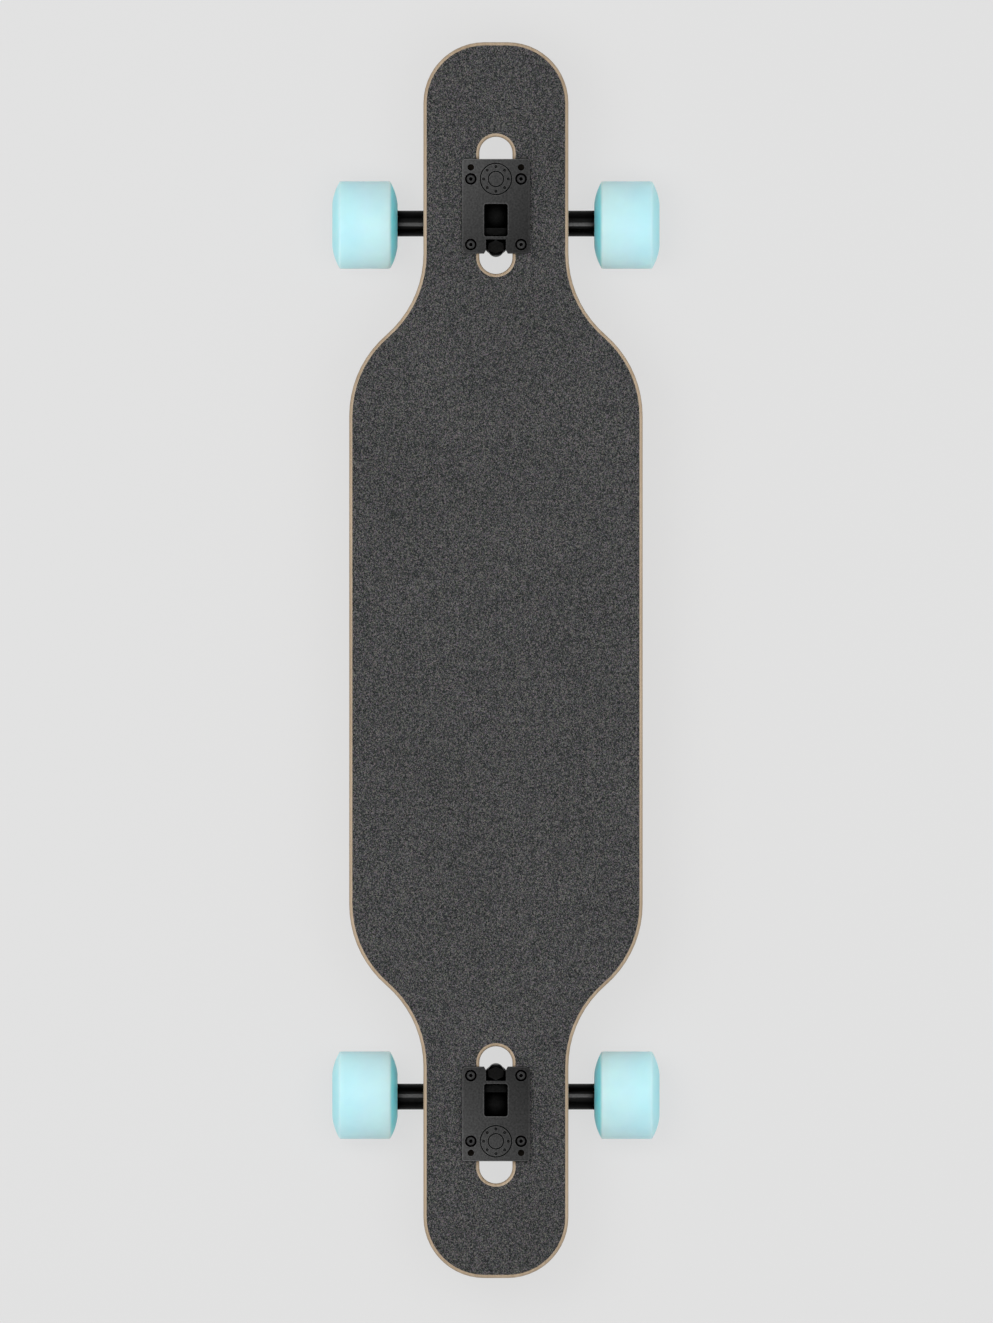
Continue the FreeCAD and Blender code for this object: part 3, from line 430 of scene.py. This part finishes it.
def coated_paint(name, grey, roughness, edge_grey, grain, bump, gloss, pocketed=False, side_shade_share=1.0):
    """Powder coat on a casting: fine texture, slight mottling, rubbed and painted-highlight edges, painted
    shade in hollows.
    """
    paint = Paint(name, (grey, grey, grey), roughness)
    mottle = paint.noise(*coat_mottle_noise)
    base = paint.ramp(mottle, [(place, grey * share) for place, share in coat_mottle_shares])
    edges = paint.worn_and_highlit_edges()
    # Painted shade in hollows
    shade = paint.hollow_shade(*coat_hollow_shade)
    # On the baseplate: painted shade in the pocket and notch, painted light across the top, painted
    # highlight on its edges
    if pocketed:
        shade = paint.times(paint.times(shade, paint.pocket_shade()), paint.plate_painted_light())
        edges = paint.math("MAXIMUM", edges, paint.plate_rim_highlight())
    # Painted shade on the sides, which leaves the gloss only on the top
    if side_shade_share < 1.0:
        shade = paint.times(shade, paint.painted_side_shade(side_shade_share))
    shade = paint.times(shade, paint.ramp(paint.noise(*coat_speckle_noise), coat_speckle_stops))
    # Lighter edges: rubbed paint, and also a painted highlight
    rubbed_and_highlit = paint.math("MULTIPLY", edges, coat_edge_share)
    paint.shade_colour_and_gloss(paint.mix(rubbed_and_highlit, base, (edge_grey, edge_grey, edge_grey)), shade, gloss)
    paint.rough(mottle, *(roughness * share for share in coat_roughness_shares))
    paint.bump(paint.noise(grain, coat_detail), bump, coat_bump_height)
    return paint.material


def steel_paint(name, colour, roughness, scratch):
    """Turned or plated steel with fine streaks."""
    paint = Paint(name, colour, roughness, 1.0)
    streaks = paint.noise(*steel_streak_noise)
    paint.colour(paint.clouded(streaks, colour, steel_dark_share))
    paint.rough(streaks, *(roughness * share for share in steel_roughness_shares))
    paint.bump(streaks, scratch, steel_bump_height)
    return paint.material


def urethane_paint(name, colour, roughness, depth, weight, gloss, stops=None):
    """Cast urethane that light soaks into, with faint clouding and a fine skin."""
    paint = Paint(name, colour, roughness)
    paint.set("Specular IOR Level", gloss)
    paint.set("Subsurface Weight", weight)
    paint.set("Subsurface Radius", urethane_spread_shares)
    paint.set("Subsurface Scale", depth)
    # On the wheels, painted shade at the lips and painted light over the inner tread
    body = paint.wheel_light_and_shade(stops) if stops else colour
    skin = paint.noise(*urethane_skin_noise)
    paint.colour(paint.times(body, paint.ramp(paint.noise(*urethane_cloud_noise), urethane_cloud_stops)))
    paint.rough(skin, *(roughness * share for share in urethane_roughness_shares))
    paint.bump(skin, *urethane_bump)
    return paint.material


def moulded_paint(name, colour, roughness):
    """Moulded plastic or rubber with a fine matt skin."""
    paint = Paint(name, colour, roughness)
    skin = paint.noise(*moulded_skin_noise)
    paint.colour(paint.clouded(paint.noise(*moulded_cloud_noise), colour, moulded_dark_share))
    paint.rough(skin, *(roughness * share for share in moulded_roughness_shares))
    paint.bump(skin, *moulded_bump)
    return paint.material


# One paint for each material slot of the record, and a darker copy of the black oxide for the kingpins as
# painted shade
paints = {
    "deck_wood": wood_paint(),
    "grip_abrasive": grip_paint(),
    # The baseplate carries painted light, painted shade in its pocket and a painted rim highlight
    "baseplate_paint": coated_paint(
        "baseplate_coat", grey=0.0185, roughness=0.5, edge_grey=0.12, grain=2600.0, bump=0.2, gloss=0.2,
        pocketed=True,
    ),
    # The hanger's sides carry painted shade
    "hanger_paint": coated_paint(
        "hanger_coat", grey=0.003, roughness=0.13, edge_grey=0.01, grain=900.0, bump=0.02, gloss=0.36,
        side_shade_share=0.12,
    ),
    "black_steel": coated_paint(
        "black_oxide", grey=0.008, roughness=0.4, edge_grey=0.09, grain=2600.0, bump=0.05, gloss=0.2
    ),
    # Painted shade: black oxide made darker for the kingpin, which sits in the shade of the notch
    "kingpin": coated_paint(
        "kingpin_oxide_shaded", grey=0.003, roughness=0.5, edge_grey=0.012, grain=2600.0, bump=0.05, gloss=0.12
    ),
    "bright_steel": steel_paint("zinc_plate", colour=(0.62, 0.62, 0.6), roughness=0.3, scratch=0.06),
    "bushing_urethane": urethane_paint(
        "bushing_urethane", colour=(0.78, 0.76, 0.68), roughness=0.4, depth=0.004, weight=0.3, gloss=0.5
    ),
    "pivot_cup_rubber": moulded_paint("pivot_rubber", colour=(0.025, 0.025, 0.026), roughness=0.7),
    "wheel_urethane": urethane_paint(
        "wheel_urethane", colour=(0.58, 0.88, 0.995), roughness=0.5, depth=0.035, weight=1.0, gloss=0.25,
        stops=wheel_light_and_shade_stops,
    ),
    "wheel_core": moulded_paint("core_plastic", colour=(0.8, 0.83, 0.82), roughness=0.5),
    "bearing_steel": steel_paint("bearing_steel", colour=(0.72, 0.72, 0.72), roughness=0.18, scratch=0.03),
    "bearing_shield": moulded_paint("shield_rubber", colour=(0.03, 0.03, 0.032), roughness=0.55),
    "bearing_cage": moulded_paint("cage_plastic", colour=(0.72, 0.68, 0.54), roughness=0.5),
}


def dress_nodes():
    """Gives every CAD node the paint of its record slot."""
    for part in frame["record"]["subparts"]:
        mesh = nodes[part["node"]].data
        look = "kingpin" if part["node"].endswith("_kingpin") else part["material_slot"]
        mesh.materials.clear()
        mesh.materials.append(paints[look])


def lathe(name, profile, base, direction):
    """Closed turned piece from (radius, distance) points round an axis."""
    turn = Vector((0, 0, 1)).rotation_difference(direction)
    points = []
    for radius, distance in profile:
        for number in range(bushing_segments):
            angle = 2 * math.pi * number / bushing_segments
            local = Vector((radius * math.cos(angle), radius * math.sin(angle), distance))
            points.append(base + turn @ local)
    faces = []
    for ring in range(len(profile)):
        after = (ring + 1) % len(profile)
        for number in range(bushing_segments):
            side = (number + 1) % bushing_segments
            corners = ((ring, number), (ring, side), (after, side), (after, number))
            faces.append([row * bushing_segments + column for row, column in corners])
    mesh = bpy.data.meshes.new(name)
    mesh.from_pydata(points, [], faces)
    mesh.validate()
    for face in mesh.polygons:
        face.use_smooth = True
    piece = bpy.data.objects.new(name, mesh)
    bpy.context.scene.collection.objects.link(piece)
    return piece


def bushing_profile(height, base_radius, tip_radius):
    """Outline of a bushing: bore, rounded rims and a slightly bulged side."""
    points = [(bushing_bore, height), (bushing_bore, 0.0)]
    turns = [math.pi / 2 * step / bushing_edge_steps for step in range(bushing_edge_steps + 1)]
    for angle in turns:
        radius = base_radius - bushing_edge * (1 - math.sin(angle))
        points.append((radius, bushing_edge * (1 - math.cos(angle))))
    for number in range(1, bushing_rings):
        share = number / bushing_rings
        radius = base_radius + (tip_radius - base_radius) * share
        drawn_in = bushing_bulge * (1 - math.sin(math.pi * share))
        points.append((radius - drawn_in, bushing_edge + (height - 2 * bushing_edge) * share))
    for angle in turns:
        radius = tip_radius - bushing_edge * (1 - math.cos(angle))
        points.append((radius, height - bushing_edge * (1 - math.sin(angle))))
    return points


def bushings():
    """Urethane bushings between the ring on the hanger and the washers on the board, in place of the CAD
    ones.
    """
    for end, sign in (("front", 1), ("rear", -1)):
        outward = Vector((sign, 0, 1)).normalized()
        down = Vector((sign, 0, -1)).normalized()
        centre = Vector((sign * axle_x, 0, axle_z)) - down * rake + outward * ring_distance
        rows = (
            ("boardside", -down, boardside_height, bushing_radius),
            ("roadside", down, roadside_height, roadside_tip_radius),
        )
        for which, direction, height, tip_radius in rows:
            seat = centre + direction * ring_seat_level
            name = f"{end}_{which}_bushing"
            profile = bushing_profile(height, bushing_radius, tip_radius)
            piece = lathe(f"{name}_soft", profile, seat, direction)
            piece.data.materials.append(paints["bushing_urethane"])
            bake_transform(piece)
            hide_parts(name)


def floor_paint():
    """Pale paper that looks the same grey to the camera and in reflections, but for the board's shadow."""
    paint = Paint("floor_paper", (floor_grey, floor_grey, floor_grey), floor_roughness)
    paint.set("Specular IOR Level", floor_gloss)
    glow = paint.node("ShaderNodeEmission", Color=(background_grey, background_grey, background_grey, 1.0))
    path = paint.node("ShaderNodeLightPath").outputs
    seen = paint.math("MAXIMUM", path["Is Camera Ray"], path["Is Glossy Ray"])
    seen = paint.math("MAXIMUM", seen, path["Is Transmission Ray"])
    both = paint.node("ShaderNodeMixShader")
    paint.link(paint.math("MULTIPLY", seen, background_share), both.inputs["Fac"])
    paint.link(paint.shader.outputs["BSDF"], both.inputs[1])
    paint.link(glow.outputs["Emission"], both.inputs[2])
    paint.link(both.outputs["Shader"], paint.tree.nodes["Material Output"].inputs["Surface"])
    return paint.material


def floor():
    """Plain pale floor under the board."""
    half = floor_size / 2
    corners = [(-half, -half, 0), (half, -half, 0), (half, half, 0), (-half, half, 0)]
    mesh = bpy.data.meshes.new("floor")
    mesh.from_pydata(corners, [], [(0, 1, 2, 3)])
    mesh.materials.append(floor_paint())
    piece = bpy.data.objects.new("floor", mesh)
    piece.location.z = -floor_drop
    bpy.context.scene.collection.objects.link(piece)


def world():
    """Studio surroundings, pale at the horizon and darker overhead."""
    scene_world = bpy.data.worlds.new("studio")
    scene_world.use_nodes = True
    tree = scene_world.node_tree
    coords = tree.nodes.new("ShaderNodeTexCoord")
    parts = tree.nodes.new("ShaderNodeSeparateXYZ")
    ramp = tree.nodes.new("ShaderNodeValToRGB")
    stops = ramp.color_ramp.elements
    while len(stops) < len(sky_stops):
        stops.new(ramp_middle)
    for stop, (height, grey) in zip(stops, sky_stops):
        stop.position = height
        stop.color = (grey, grey, grey, 1.0)
    tree.links.new(coords.outputs["Generated"], parts.inputs["Vector"])
    tree.links.new(parts.outputs["Z"], ramp.inputs["Fac"])
    tree.links.new(ramp.outputs["Color"], tree.nodes["Background"].inputs["Color"])
    bpy.context.scene.world = scene_world


def lamp(name, place, size, watts):
    """Soft lamp that points at the board."""
    data = bpy.data.lights.new(name, "AREA")
    data.shape = "RECTANGLE"
    data.size, data.size_y = size
    data.energy = watts
    made = bpy.data.objects.new(name, data)
    made.location = place
    made.rotation_euler = (-Vector(place)).to_track_quat("-Z", "Y").to_euler()
    made.visible_camera = False
    bpy.context.scene.collection.objects.link(made)


def camera():
    """Camera straight above the board, with the nose at the top of the picture."""
    metres_per_px = (deck_high.x - deck_low.x) / board_length_px
    data = bpy.data.cameras.new("camera")
    data.lens = camera_lens_mm
    data.sensor_width = sensor_mm
    data.clip_end = camera_clip_end
    distance = camera_lens_mm / sensor_mm * photo_height_px * metres_per_px
    made = bpy.data.objects.new("camera", data)
    ahead = (board_centre_y_px - photo_height_px / 2) * metres_per_px
    left = (board_centre_x_px - photo_width_px / 2) * metres_per_px
    made.location = (ahead, left, deck_high.z + distance)
    made.rotation_euler = (0, 0, -math.pi / 2)
    bpy.context.scene.collection.objects.link(made)
    bpy.context.scene.camera = made


dress_nodes()
bushings()
floor()
world()
lamp("key_lamp", key_place, key_size, key_watts)
lamp("fill_lamp", fill_place, fill_size, fill_watts)
lamp("top_lamp", top_place, top_size, top_watts)
camera()
bpy.context.scene.view_settings.view_transform = "Standard"
